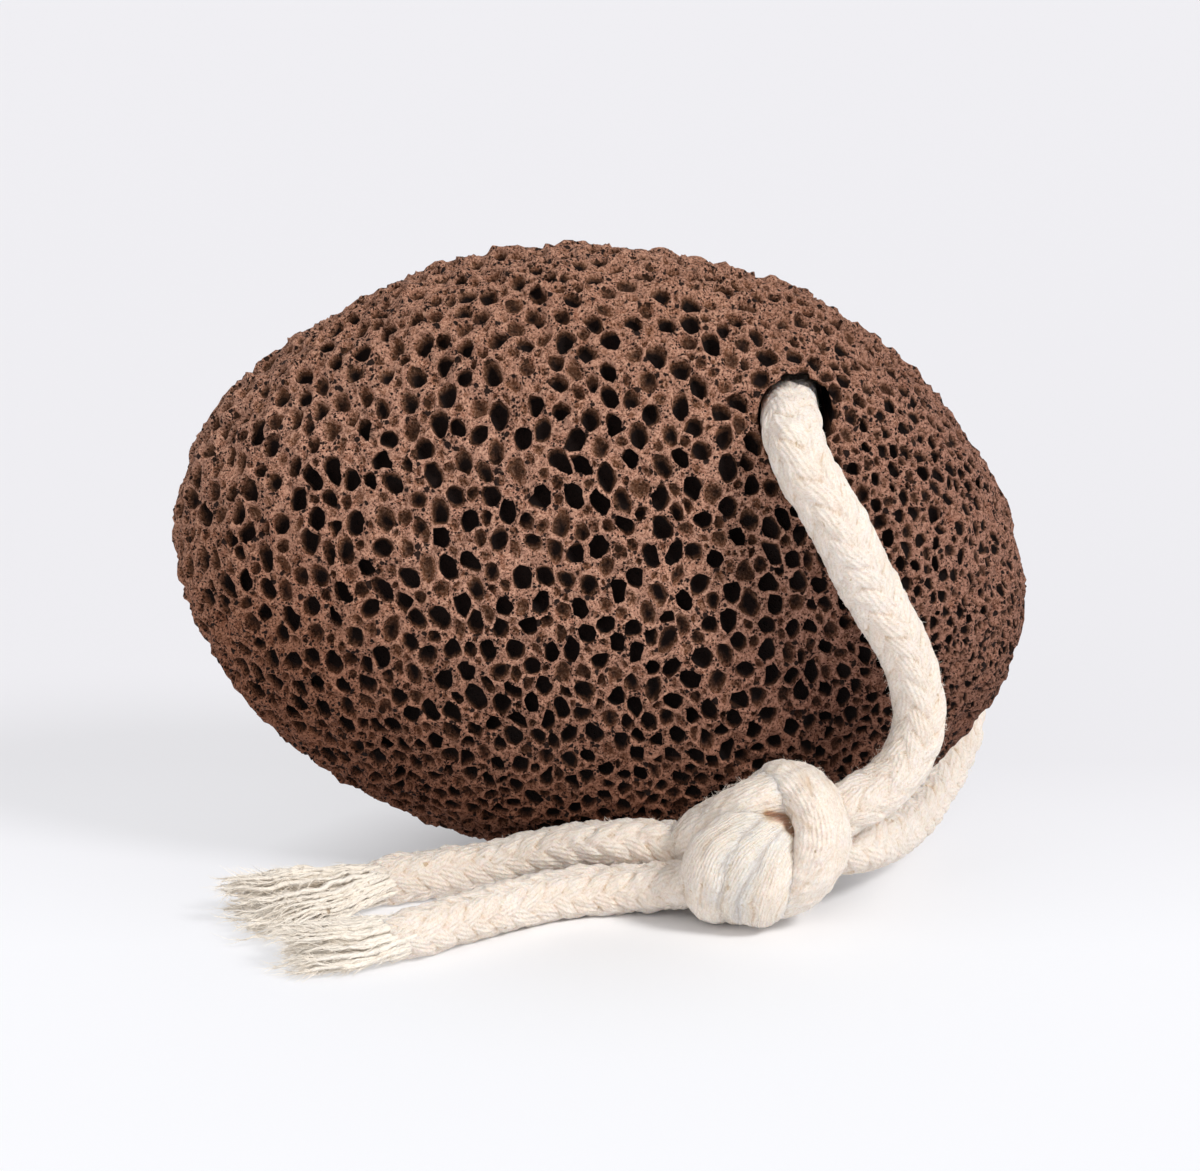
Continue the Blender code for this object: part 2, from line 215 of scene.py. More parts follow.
def add_mesh(name, verts, faces, material, uvs=None, values=None):
    """Object from arrays in mm: verts (n, 3), faces (m, 3 or 4), uv of each face corner,
    and named numbers of each vertex."""
    mesh = bpy.data.meshes.new(name)
    faces = np.asarray(faces, dtype=np.int32)
    size = faces.shape[1]
    mesh.vertices.add(len(verts))
    mesh.vertices.foreach_set("co", (np.asarray(verts) * MM).astype(np.float32).ravel())
    mesh.loops.add(faces.size)
    mesh.loops.foreach_set("vertex_index", faces.ravel())
    mesh.polygons.add(len(faces))
    mesh.polygons.foreach_set("loop_start", np.arange(len(faces), dtype=np.int32) * size)
    mesh.polygons.foreach_set("use_smooth", np.full(len(faces), True))
    if uvs is not None:
        layer = mesh.uv_layers.new(name="UVMap")
        layer.data.foreach_set("uv", np.asarray(uvs, np.float32).ravel())
    add_values(mesh, values or {})
    mesh.update(calc_edges=True)
    mesh.validate()
    mesh.materials.append(material)
    item = bpy.data.objects.new(name, mesh)
    bpy.context.scene.collection.objects.link(item)
    return item


def add_values(mesh, values):
    for key, numbers in values.items():
        layer = mesh.attributes.new(key, "FLOAT", "POINT")
        layer.data.foreach_set("value", np.asarray(numbers, np.float32))


def place(piece, node):
    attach(piece, "root")
    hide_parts(node)
    return piece


# --- camera ---
def add_camera():
    data = bpy.data.cameras.new("camera")
    data.sensor_width = SENSOR
    data.lens = SENSOR * CAMERA_DISTANCE / FRAME_WIDTH
    data.clip_start = 0.01
    data.clip_end = 20.0
    camera = bpy.data.objects.new("camera", data)
    back = Vector((0.0, -math.cos(CAMERA_RISE), math.sin(CAMERA_RISE)))
    camera.location = CAMERA_TARGET + back * CAMERA_DISTANCE
    camera.rotation_euler = back.to_track_quat("Z", "Y").to_euler()
    bpy.context.scene.collection.objects.link(camera)
    bpy.context.scene.camera = camera


# --- materials ---
class Nodes:
    """Short-hand for building one material's nodes."""

    def __init__(self, name):
        self.material = bpy.data.materials.new(name)
        self.material.use_nodes = True
        self.tree = self.material.node_tree
        self.shader = self.tree.nodes["Principled BSDF"]

    def add(self, kind, settings=None, **inputs):
        node = self.tree.nodes.new(kind)
        for key, value in (settings or {}).items():
            setattr(node, key, value)
        for key, value in inputs.items():
            self.feed(node.inputs[key.replace("_", " ")], value)
        return node

    def feed(self, socket, value):
        if isinstance(value, bpy.types.NodeSocket):
            self.tree.links.new(value, socket)
        else:
            socket.default_value = value

    def math(self, operation, first, second):
        node = self.tree.nodes.new("ShaderNodeMath")
        node.operation = operation
        self.feed(node.inputs[0], first)
        self.feed(node.inputs[1], second)
        return node.outputs[0]

    def mix(self, share, first, second, blend="MIX"):
        node = self.tree.nodes.new("ShaderNodeMix")
        node.data_type = "RGBA"
        node.blend_type = blend
        self.feed(node.inputs[0], share)
        self.feed(node.inputs[6], first)
        self.feed(node.inputs[7], second)
        return node.outputs[2]

    def range(self, value, low, high, to_low=0.0, to_high=1.0):
        node = self.tree.nodes.new("ShaderNodeMapRange")
        for i, number in enumerate((value, low, high, to_low, to_high)):
            self.feed(node.inputs[i], number)
        return node.outputs[0]

    def value(self, name):
        """A number that the mesh has at each of its vertices."""
        return self.add("ShaderNodeAttribute", {"attribute_name": name}).outputs["Fac"]

    def distance(self, vector, point):
        node = self.add("ShaderNodeVectorMath", {"operation": "DISTANCE"})
        self.feed(node.inputs[0], vector)
        node.inputs[1].default_value = point
        return node.outputs["Value"]

    def weighted(self, *pairs):
        """Sum of values, each times its own weight."""
        total = 0.0
        for value, weight in pairs:
            total = self.math("ADD", total, self.math("MULTIPLY", value, weight))
        return total

    def finish(self, colour, **settings):
        """The shader's colour and its other settings; gives the finished material."""
        self.feed(self.shader.inputs["Base Color"], colour)
        for key, value in settings.items():
            self.feed(self.shader.inputs[key.replace("_", " ")], value)
        return self.material

    def bump(self, height, strength, distance):
        return self.add("ShaderNodeBump", Height=height, Strength=strength,
                        Distance=distance).outputs["Normal"]

    def noise(self, vector, scale, detail, roughness):
        node = self.add("ShaderNodeTexNoise", Vector=vector, Scale=scale, Detail=detail,
                        Roughness=roughness)
        return node.outputs["Fac"]


def rgb(red, green, blue):
    return (red, green, blue, 1.0)


def pumice_material():
    n = Nodes("pumice")
    where = n.add("ShaderNodeTexCoord").outputs["Object"]
    depth = n.value("depth")

    # rock colour: warm brown with olive, pinker and darker patches
    patches = n.noise(where, 150.0, 3.0, 0.6)
    colour = n.mix(n.range(patches, 0.35, 0.65), rgb(0.205, 0.072, 0.034),
                   rgb(0.325, 0.128, 0.064))
    blush = n.noise(where, 420.0, 2.0, 0.6)
    colour = n.mix(n.range(blush, 0.45, 0.65, 0.0, 0.7), colour, rgb(0.37, 0.135, 0.082))

    # painted highlight: thin edges between pores and the rock's ridges are paler, where they
    # would catch the light
    colour = n.mix(n.math("MULTIPLY", n.value("edge"), 0.9), colour, rgb(0.60, 0.315, 0.22))

    # grains, light and dark
    grains = n.noise(where, 3300.0, 3.0, 0.8)
    colour = n.mix(n.range(grains, 0.515, 0.605, 0.0, 0.95), colour, rgb(0.72, 0.415, 0.29))
    colour = n.mix(n.range(grains, 0.485, 0.385, 0.0, 0.95), colour, rgb(0.036, 0.015, 0.009))

    # pinholes too small to model, in three sizes, in loose clusters: dark dots of painted shade
    # for their insides, and dents in the bump
    ragged = n.add("ShaderNodeVectorMath", {"operation": "MULTIPLY_ADD"})
    n.feed(ragged.inputs[0], n.add("ShaderNodeTexNoise", Vector=where, Scale=1600.0,
                                   Detail=2.0).outputs["Color"])
    ragged.inputs[1].default_value = (0.0004, 0.0004, 0.0004)
    n.feed(ragged.inputs[2], where)
    crowd = n.range(n.noise(where, 420.0, 3.0, 0.7), 0.60, 0.40, 0.0, 0.22)
    pin = None
    for scale, most in PINHOLES:
        holes = n.add("ShaderNodeTexVoronoi", Vector=ragged.outputs[0], Scale=scale,
                      Randomness=1.0)
        own = n.add("ShaderNodeSeparateColor", Color=holes.outputs["Color"]).outputs[0]
        spot = n.math("SUBTRACT", n.range(own, 0.22, 1.0, -0.05, most), crowd)
        spot = n.range(n.math("SUBTRACT", spot, holes.outputs["Distance"]), 0.0, 0.08)
        pin = spot if pin is None else n.math("MAXIMUM", pin, spot)
    colour = n.mix(n.math("MULTIPLY", pin, 0.97), colour, rgb(0.010, 0.004, 0.003))

    # painted shade: deep inside a pore the rock is painted darker, olive-brown partway down and
    # near black further in
    colour = n.mix(n.range(depth, 0.12, 0.7, 0.0, 0.6), colour, rgb(0.15, 0.066, 0.028))
    colour = n.mix(n.range(depth, 0.38, 1.06, 0.0, 0.985), colour, rgb(0.006, 0.0022, 0.0018))

    # painted shade: the underside, and the hollow beside the cord where the cord's shadow falls,
    # are painted darker; the right end and the crest, which face the key light, are painted
    # darker against it; the lower left is darker too
    axes = n.add("ShaderNodeSeparateXYZ", Vector=where)
    for share, shade in (
            (1.0, ROCK_TONE),
            (n.range(axes.outputs["X"], 0.012, 0.040), rgb(0.70, 0.66, 0.67)),
            (n.range(axes.outputs["Z"], 0.034, 0.010), rgb(0.49, 0.39, 0.34)),
            (n.range(axes.outputs["Z"], 0.052, 0.066), rgb(0.88, 0.86, 0.84)),
            (n.range(n.distance(where, HOLLOW_SHADOW_MIDDLE), 0.018, 0.006), rgb(0.84, 0.80, 0.81)),
            (n.range(n.distance(where, LOWER_LEFT), 0.030, 0.008), rgb(0.76, 0.65, 0.57))):
        colour = n.mix(share, colour, shade, "MULTIPLY")
    height = n.weighted((n.noise(where, 1000.0, 4.0, 0.7), 0.6), (grains, 0.45), (pin, -1.2))
    return n.finish(colour, Roughness=0.93, Specular_IOR_Level=0.2,
                    Normal=n.bump(height, 1.0, 0.00044))


def cotton_material(name, softness, shade):
    """Raw cotton: cream yarns with golden-brown painted shade between the strands, and a few
    husk specks.
    The UV map runs across the yarns of a strand, one unit each, and along them in mm.
    softness is how much light spreads inside the material, and shade how strongly the darker
    tones show; a low shade also makes the colour paler, as painted light for fibres that shade
    each other."""
    n = Nodes(name)
    where = n.add("ShaderNodeTexCoord")
    crevice_shade_and_tint = n.value("crevice_shade_and_tint")
    patches = n.noise(where.outputs["Object"], 240.0, 3.0, 0.6)
    colour = n.mix(n.range(patches, 0.35, 0.7), rgb(0.925, 0.835, 0.762),
                   rgb(0.90, 0.785, 0.685))
    # painted light: a low shade makes the colour paler
    colour = n.mix(1.0 - shade, colour, rgb(0.985, 0.92, 0.82))

    # fibres are streaks along the yarns, and the yarns have a slanting twist
    lengthwise = n.add("ShaderNodeVectorMath", {"operation": "MULTIPLY"})
    n.feed(lengthwise.inputs[0], where.outputs["UV"])
    lengthwise.inputs[1].default_value = (3.2, 1.1, 1.0)
    streaks = n.noise(lengthwise.outputs[0], 1.0, 3.0, 0.65)
    colour = n.mix(n.range(streaks, 0.50, 0.30, 0.0, 0.55 * shade), colour,
                   rgb(0.70, 0.545, 0.39))
    fluff = n.noise(where.outputs["Object"], 3300.0, 2.0, 0.75)
    colour = n.mix(n.range(fluff, 0.52, 0.34, 0.0, 0.55 * shade), colour, rgb(0.70, 0.56, 0.44))
    twist = n.add("ShaderNodeTexWave", {"bands_direction": "DIAGONAL", "wave_profile": "SIN"},
                  Vector=where.outputs["UV"], Scale=0.55, Distortion=1.2, Detail=2.0,
                  Detail_Scale=1.5)

    # painted shade: golden-brown between the strands, in the knot's core and among the frays'
    # inner yarns, which also get a random golden tint; dark reddish in the knot's fold
    depths = n.math("MULTIPLY", crevice_shade_and_tint, n.range(patches, 0.35, 0.65, 0.35, 1.0))
    colour = n.mix(n.math("MULTIPLY", depths, 0.55 + 0.30 * shade), colour,
                   rgb(0.56, 0.36, 0.17))
    colour = n.mix(n.range(crevice_shade_and_tint, 1.0, 1.8, 0.0, 0.85), colour, rgb(0.36, 0.17, 0.10))
    specks = n.noise(where.outputs["Object"], 950.0, 1.0, 0.5)
    colour = n.mix(n.range(specks, 0.735, 0.78, 0.0, 0.6), colour, rgb(0.45, 0.28, 0.11))
    height = n.weighted((fluff, 0.5), (twist.outputs["Fac"], 0.4), (streaks, 0.8))
    return n.finish(colour, Roughness=0.95, Specular_IOR_Level=0.1, Sheen_Weight=0.25,
                    Sheen_Roughness=0.6, Subsurface_Weight=softness,
                    Subsurface_Radius=(0.0014, 0.0010, 0.0007), Subsurface_Scale=1.0,
                    Normal=n.bump(height, 0.9, 0.00026))


# --- cord ---
def smooth_route(points, step=CORD_STEP):
    """Smooth curve through the points, read at an even step, in mm."""
    knots = [np.array(point, dtype=float) for point in points]
    knots = [2 * knots[0] - knots[1]] + knots + [2 * knots[-1] - knots[-2]]
    t = (np.arange(20) / 20.0)[:, None]
    dense = []
    for a, b, c, d in zip(knots, knots[1:], knots[2:], knots[3:]):
        dense.append(0.5 * (2 * b + (c - a) * t + (2 * a - 5 * b + 4 * c - d) * t ** 2
                            + (3 * b - a - 3 * c + d) * t ** 3))
    dense = np.vstack(dense + [knots[-2][None]])
    along = distances(dense)
    samples = np.linspace(0.0, along[-1], max(3, round(along[-1] / step) + 1))
    return np.column_stack([np.interp(samples, along, dense[:, k]) for k in range(3)])


def distances(path):
    """Length along a path from its start to each of its points."""
    return np.concatenate([[0.0], np.cumsum(np.linalg.norm(np.diff(path, axis=0), axis=1))])


def untwisted_axes(path):
    """Two unit vectors across the path at each point, carried along without twist."""
    along = unit(np.gradient(path, axis=0))
    start = np.cross(along[0], (0.0, 0.0, 1.0))
    if np.linalg.norm(start) < 0.1:
        start = np.cross(along[0], (0.0, 1.0, 0.0))
    side = [unit(start)]
    for direction in along[1:]:
        carried = side[-1] - direction * np.dot(side[-1], direction)
        side.append(unit(carried))
    side = np.array(side)
    return side, np.cross(along, side)


def drift(points, random, wavelength, size, waves=14):
    """Smooth random offsets of the points, from a sum of sine waves."""
    total = np.zeros_like(points)
    for _ in range(waves):
        direction = unit(random.normal(size=3)) * 2.0 * np.pi / wavelength
        direction *= random.uniform(0.7, 1.4)
        phase = points @ direction + random.uniform(0, 2 * np.pi)
        total += np.sin(phase)[:, None] * random.normal(size=3)
    return total * size / math.sqrt(waves)


def tube_faces(rings, sides):
    i, k = np.meshgrid(np.arange(rings - 1), np.arange(sides), indexing="ij")
    near, after = i * sides + k, i * sides + (k + 1) % sides
    return np.stack([near, after, after + sides, near + sides], axis=-1).reshape(-1, 4)


def end_caps(rings, sides):
    caps = []
    for first in (0, (rings - 1) * sides):
        for k in range(0, sides - 3, 2):
            quad = (first, first + k + 1, first + k + 2, first + k + 3)
            caps.append(quad if first else quad[::-1])
    return np.array(caps)


def soft_max(a, b, width):
    h = np.clip(0.5 + 0.5 * (a - b) / width, 0.0, 1.0)
    return b + (a - b) * h + width * h * (1.0 - h)


def braid_arrays(path, radius, random, lay=LAY, relief=1.0, press=None, ends=(1.0, 1.0),
                 swell=((0.0, 1.0),)):
    """Skin of a round braid. Half of its flat strands wind each way, and each passes over
    two and under two of the others. press is a point that the cord is squeezed towards, as
    in a tight knot. ends is how much of its radius the cord keeps at its two ends.
    swell lists distances along the cord and how thick it is there."""
    side, up = untwisted_axes(path)
    rings = len(path)
    size = radius / CORD_RADIUS
    half = STRANDS // 2
    angle = np.arange(CORD_SIDES + 1) * 2.0 * np.pi / CORD_SIDES
    outward = (side[:, None, :] * np.cos(angle)[None, :, None]
               + up[:, None, :] * np.sin(angle)[None, :, None])
    spots = (path[:, None, :] + outward * radius).reshape(-1, 3)
    stray = drift(spots, random, 7.0, 0.11).reshape(rings, -1, 3)
    lumps = (drift(spots, random, 4.5, 0.085 * size) + drift(spots, random, 1.5, 0.075)
             ).reshape(rings, -1, 3)[..., 0]

    # p counts the strands that wind one way, q those that wind the other way
    along = distances(path)
    turns = along[:, None] / (lay * size)
    p = half * (angle[None, :] / (2.0 * np.pi) - turns) + stray[..., 0]
    q = half * (angle[None, :] / (2.0 * np.pi) + turns) + stray[..., 1]
    fullness = random.uniform(-0.05, 0.05, (2, half))
    heights = []
    for which, (own, other, start) in enumerate(((p, q, 1.0), (q, p, 3.0))):
        number = np.floor(own)
        across = own - number - 0.5
        over = np.cos(0.5 * np.pi * (other + number - start))
        crown = 1.0 - (2.0 * np.abs(across)) ** 2.4
        yarn = 0.5 - 0.5 * np.cos(2.0 * np.pi * YARNS * (across + 0.5))
        lift = STRAND_LIFT * over + STRAND_CROWN * crown
        heights.append(size * (relief * lift + YARN_RELIEF * yarn * min(relief, 1.2) ** 1.5)
                       + fullness[which][(number % half).astype(int)])
    height = soft_max(heights[0], heights[1], 0.05)
    top = size * (relief * (STRAND_LIFT + STRAND_CROWN) + YARN_RELIEF)
    reach = radius * FULLNESS - top + height + lumps
    reach = reach * np.interp(along, *zip(*swell))[:, None]
    if press is not None:
        towards = unit(path - np.array(press))[:, None, :]
        part = np.sum(outward * towards, axis=2)
        reach = reach * (FULLNESS - SQUEEZE * part ** 2)
    for kept, away in zip(ends, (along, along[-1] - along)):
        reach = reach * (kept + (1.0 - kept) * smoothstep(0.0, TAPER, away))[:, None]
    verts = (path[:, None, :] + outward * reach[:, :, None])[:, :-1].reshape(-1, 3)
    # painted shade: golden-brown where a strand lies low, between the others
    crevice_shade_and_tint = smoothstep(0.50, 0.05, (height / top))[:, :-1].ravel() * min(1.0, relief * 1.4)

    # each face reads its texture along the strand that lies on top there
    corners = [(slice(0, -1), slice(0, -1)), (slice(0, -1), slice(1, None)),
               (slice(1, None), slice(1, None)), (slice(1, None), slice(0, -1))]
    first_on_top = sum((heights[0] - heights[1])[corner] for corner in corners) > 0.0
    texture = np.empty((rings - 1, CORD_SIDES, 4, 2))
    reel = math.hypot(lay * size, 2.0 * math.pi * radius) / (2.0 * half)
    for own, other, chosen in ((p, q, first_on_top), (q, p, ~first_on_top)):
        number = np.floor(sum(own[corner] for corner in corners) / 4.0)
        for k, corner in enumerate(corners):
            texture[..., k, 0][chosen] = ((own[corner] - number) * YARNS)[chosen]
            texture[..., k, 1][chosen] = (other[corner] * reel + 3.7 * number)[chosen]
    caps = end_caps(rings, CORD_SIDES)
    uvs = np.vstack([texture.reshape(-1, 2), np.zeros((caps.size, 2))])
    return verts, np.vstack([tube_faces(rings, CORD_SIDES), caps]), uvs, crevice_shade_and_tint


def yarn_arrays(line, radius, sides, number):
    """A loose yarn, as a thin tapered tube."""
    side, up = untwisted_axes(line)
    angle = np.arange(sides) * 2.0 * np.pi / sides
    reach = np.broadcast_to(radius, len(line))[:, None, None]
    ring = (side[:, None, :] * np.cos(angle)[None, :, None]
            + up[:, None, :] * np.sin(angle)[None, :, None])
    verts = (line[:, None, :] + ring * reach).reshape(-1, 3)
    faces = tube_faces(len(line), sides)
    along = distances(line)
    uv = np.column_stack([np.tile(np.arange(sides) * 2.0 / sides + number, len(line)),
                          np.repeat(along, sides)])
    return verts, faces, uv[faces.ravel()]


def join_arrays(parts):
    """One set of vertices, quads, uvs of their corners and shares of painted shade and tint from
    several.
    """
    starts = np.cumsum([0] + [len(part[0]) for part in parts[:-1]])
    faces = [part[1] + start for part, start in zip(parts, starts)]
    return (np.vstack([part[0] for part in parts]), np.vstack(faces),
            np.vstack([part[2] for part in parts]), np.concatenate([part[3] for part in parts]))


def ribbon_arrays(root, heading, facing, size, bend, width, crevice_shade_and_tint=0.0):
    """Fine hairs, as two quads each: root, direction, the way they face, length and bend.
    Each reads the texture at a place of its own, so that hairs differ in colour."""
    count = len(root)
    across = unit(np.cross(heading, facing)) * width
    t = np.array([0.0, 0.5, 1.0])[None, :, None]
    spine = root[:, None] + size[:, None, None] * (heading[:, None] * t
                                                   + bend[:, None] * t * t * 0.6)
    thin = np.array([1.0, 0.9, 0.25])[None, :, None]
    pairs = np.stack([spine - across[:, None] * thin, spine + across[:, None] * thin], axis=2)
    verts = pairs.reshape(-1, 3)
    base = (np.arange(count) * 6)[:, None]
    quads = np.vstack([base + np.array([0, 1, 3, 2]), base + np.array([2, 3, 5, 4])])
    spots = np.column_stack([root[:, 0] * 7.0 + root[:, 2] * 3.0, root[:, 1] * 5.0])
    uvs = np.repeat(spots, 6, axis=0)[quads.ravel()]
    return verts, quads, uvs, np.repeat(np.broadcast_to(crevice_shade_and_tint, count), 6)


def down_arrays(path, radius, random, per_mm):
    """Down on the cord: most hairs lie close to its surface, some stand off it."""
    side, up = untwisted_axes(path)
    along = unit(np.gradient(path, axis=0))
    count = int(distances(path)[-1] * per_mm)
    at = random.integers(1, len(path) - 1, count)
    angle = random.uniform(0, 2 * np.pi, count)
    outward = side[at] * np.cos(angle)[:, None] + up[at] * np.sin(angle)[:, None]
    tangent = -side[at] * np.sin(angle)[:, None] + up[at] * np.cos(angle)[:, None]
    stands = random.uniform(size=count) < STANDING_HAIRS
    root = path[at] + outward * (radius * random.uniform(0.90, 1.0, count))[:, None]
    slant = random.normal(0.0, 0.35, count)[:, None] + random.choice((-0.9, 0.9), (count, 1))
    heading = unit(along[at] * random.choice((-1.0, 1.0), (count, 1)) + tangent * slant)
    lift = np.where(stands, random.uniform(0.25, 1.1, count), random.uniform(0.0, 0.25, count))
    heading = unit(heading + outward * lift[:, None])
    size = np.where(stands, random.uniform(0.3, 0.85, count), random.uniform(0.4, 1.0, count))
    bend = random.normal(0, 0.5, (count, 3)) - outward * np.where(stands, 0.2, 0.25)[:, None]
    facing = unit(outward + random.normal(0, 0.35, (count, 3)))
    return ribbon_arrays(root, heading, facing, size, bend, HAIR_WIDTH)


def cord_mesh(name, node, parts, cotton):
    verts, faces, uvs, crevice_shade_and_tint = join_arrays(parts)
    verts[:, 2] = np.maximum(verts[:, 2], 0.02)
    piece = add_mesh(name, verts, faces, cotton, uvs, {"crevice_shade_and_tint": crevice_shade_and_tint})
    return place(piece, node)


def core_arrays(centre, radii):
    """Egg-shaped filling in the middle of the knot, where only shade shows."""
    rings, sides = 10, 16
    polar = np.linspace(0.12, math.pi - 0.12, rings)
    angle = np.arange(sides) * 2.0 * np.pi / sides
    level, turn = np.meshgrid(polar, angle, indexing="ij")
    egg = np.stack([np.cos(level), np.sin(level) * np.cos(turn), np.sin(level) * np.sin(turn)],
                   axis=-1)
    verts = (egg * np.array(radii) + np.array(centre)).reshape(-1, 3)
    faces = np.vstack([tube_faces(rings, sides), end_caps(rings, sides)])
    # the filling is painted golden-brown shade all over
    return verts, faces, np.zeros((faces.size, 2)), np.ones(len(verts))


def crease_share(points):
    """1 where the fold on the front of the knot is painted with dark reddish shade, and 0 away
    from it.
    """
    away = np.min([distance_from_line(points, start, end)
                   for start, end in zip(KNOT_CREASE, KNOT_CREASE[1:])], axis=0)
    y = points[:, 1]
    return np.exp(-(away / CREASE_REACH) ** 2) * smoothstep(*CREASE_FRONT, y) * (y < CREASE_BACK)


def add_cord(name, node, stretches, cotton, fibre, random):
    """A piece of braid and the down on it. Each stretch is a path, its radius and the other
    settings of its braid."""
    braids = [braid_arrays(path, radius, random, **settings)
              for path, radius, settings in stretches]
    per_mm = HAIRS_PER_MM
    if node == "knot":
        braids.append(core_arrays(KNOT_CORE, KNOT_CORE_RADII))
        # the knot's fold gets dark reddish painted shade
        for verts, _, _, crevice_shade_and_tint in braids:
            np.maximum(crevice_shade_and_tint, 2.0 * crease_share(verts), out=crevice_shade_and_tint)
        per_mm *= KNOT_HAIRS
    hairs = [down_arrays(path, radius, random, per_mm) for path, radius, _ in stretches]
    return (cord_mesh(name, node, braids, cotton),
            cord_mesh(name + "_down", node, hairs, fibre))


def knot_stretches():
    """Lay and relief say how far each turn is pulled out; its ends lie inside the knot."""
    upper = UPPER_TAIL_ROUTE[-1:] + UPPER_IN_KNOT
    turns = [(RIGHT_TURN, RIGHT_TURN_RADIUS, 46.0, 0.62, 1.0)]
    for route in (FRONT_LEFT_TURN, FRONT_MIDDLE_TURN, FRONT_RIGHT_TURN):
        turns.append((route, KNOT_CORD_RADIUS, 60.0, 0.70, 1.0))
    turns.append((upper, KNOT_CORD_RADIUS, 40.0, 0.50, TAIL_END))
    return [(smooth_route(route), radius,
             {"lay": lay, "relief": relief, "press": KNOT_CORE, "ends": (start, 1.0)})
            for route, radius, lay, relief, start in turns]


def build_fray(which, route, fan, cotton, random):
    """Loose yarns that leave the end of a tail and fan out, among down of their own fibres."""
    path = smooth_route(route, 0.4)[::-1]
    side, up = untwisted_axes(path)
    if side[0][1] > 0.0:
        side, up = -side, -up
    if up[0][2] < 0.0:
        up = -up
    half, shift, low, high, longest = fan
    s = np.linspace(0.0, 1.0, len(path))
    spread = smoothstep(-0.15, 1.0, s)[:, None]
    spread = (spread - spread[0]) / (1.0 - spread[0])
    common = int(random.integers(1 << 30))     # all yarns share their widest waves
    parts = []
    for number in range(FRAY_YARNS):
        angle = random.uniform(0, 2 * np.pi)
        reach = math.sqrt(random.uniform(0.0, 1.0))
        a, b = reach * math.cos(angle), reach * math.sin(angle)
        start = np.array((a, b)) * TAIL_RADIUS * 0.82
        first = int(random.integers(0, 10))
        slope = 0.5 + 0.5 * b - 0.30 * max(a, 0.0)
        end = np.array((a * half + shift, low + (high - low) * slope))
        stop = max(10, int(len(path) * random.uniform(0.70, 1.0) * longest))
        part = slice(first, first + stop)
        offset = (start * (1.0 - spread) + end * spread)[part]
        line = path[part] + side[part] * offset[:, :1] + up[part] * offset[:, 1:]
        grow = smoothstep(0.0, 0.35, s)[part, None]
        line += drift(line, np.random.default_rng(common), 5.5, 0.22) * grow
        line += drift(line, random, 3.0, 0.13, 6) * grow
        share = np.linspace(0.0, 1.0, len(line))
        radius = random.uniform(0.18, 0.34) * (1.8 - 0.8 * reach) * (1.0 - 0.75 * share ** 3)
        radius *= smoothstep(-0.06, 0.12, share)
        line[:, 2] = np.maximum(line[:, 2], radius + 0.03)
        # inner yarns get more golden-brown painted shade, and each yarn a random golden tint
        golden_tint_and_shade = np.clip((1.0 - reach) * 0.5 + random.uniform(-0.6, 0.4), 0.0, 1.0)
        verts, faces, uvs = yarn_arrays(line, radius, 6, number)
        parts.append((verts, faces, uvs, np.repeat(0.6 * golden_tint_and_shade * (1.0 - 0.8 * share), 6)))
        if FIBRES_PER_YARN:
            parts.append(fray_fibres(line, radius, random, golden_tint_and_shade))
    return cord_mesh("loose_yarns_" + which, "frayed_end_" + which, parts, cotton)


def fray_fibres(line, radius, random, golden_tint_and_shade):
    """Fibres that lie along a yarn, part from it near its end and run on past it."""
    count = FIBRES_PER_YARN
    share = random.uniform(0.0, 1.0, count) ** 0.55
    at = np.minimum((share * len(line)).astype(int), len(line) - 2)
    along = unit(np.gradient(line, axis=0))[at]
    outward = unit(np.cross(along, random.normal(size=(count, 3))))
    loose = 0.4 + 1.1 * share
    root = line[at] + outward * (radius[at] * random.uniform(0.7, 1.6, count))[:, None]
    heading = unit(along + random.normal(0, 0.20, (count, 3)) * loose[:, None])
    bend = random.normal(0, 0.30, (count, 3)) * loose[:, None] - np.array((0.0, 0.0, 0.10))
    size = random.uniform(0.8, 2.3, count)
    facing = unit(np.array((0.0, -0.35, 1.0)) + random.normal(0, 0.4, (count, 3)))
    # near its root a fibre shares its yarn's painted shade and tint
    return ribbon_arrays(root, heading, facing, size, bend, FIBRE_WIDTH,
                         golden_tint_and_shade * 0.3 * (1.0 - share))


def build_all_cord():
    random = np.random.default_rng(5)
    cotton = cotton_material("cotton_cord", 0.35, 1.0)
    # the loose fibres and down use a paler copy of the cotton: painted light against the shade
    # among dense fibres
    fibre = cotton_material("cotton_fibre", 0.0, 0.2)
    knot = add_cord("knotted_cord", "knot", knot_stretches(), cotton, fibre, random)
    path = smooth_route(LOOP_IN_KNOT + LOOP_ROUTE + LOOP_BACK_IN_KNOT)
    stretches = [(path, CORD_RADIUS, {"swell": LOOP_SWELL})]
    loop, down = add_cord("braided_loop", "rope_loop", stretches, cotton, fibre, random)
    tails = (("upper", UPPER_TAIL_ROUTE + UPPER_IN_KNOT[:1], UPPER_FRAY_ROUTE, UPPER_FAN),
             ("lower", LOWER_TAIL_ROUTE + LOWER_IN_KNOT, LOWER_FRAY_ROUTE, LOWER_FAN))
    for which, tail_route, fray_route, fan in tails:
        path = smooth_route(tail_route[::-1])
        settings = {"relief": 1.2, "ends": (1.0, TAIL_END)}
        tail, down = add_cord("braided_tail_" + which, "tail_" + which,
                              [(path, TAIL_RADIUS, settings)], cotton, fibre, random)
        fray = build_fray(which, fray_route + tail_route[:2], fan, fibre, random)


# --- stone ---
def outline_scale(angle):
    total = 1.0
    for count, height, first in OUTLINE_WAVES:
        total = total + height * np.cos(count * (angle - math.radians(first)))
    return total


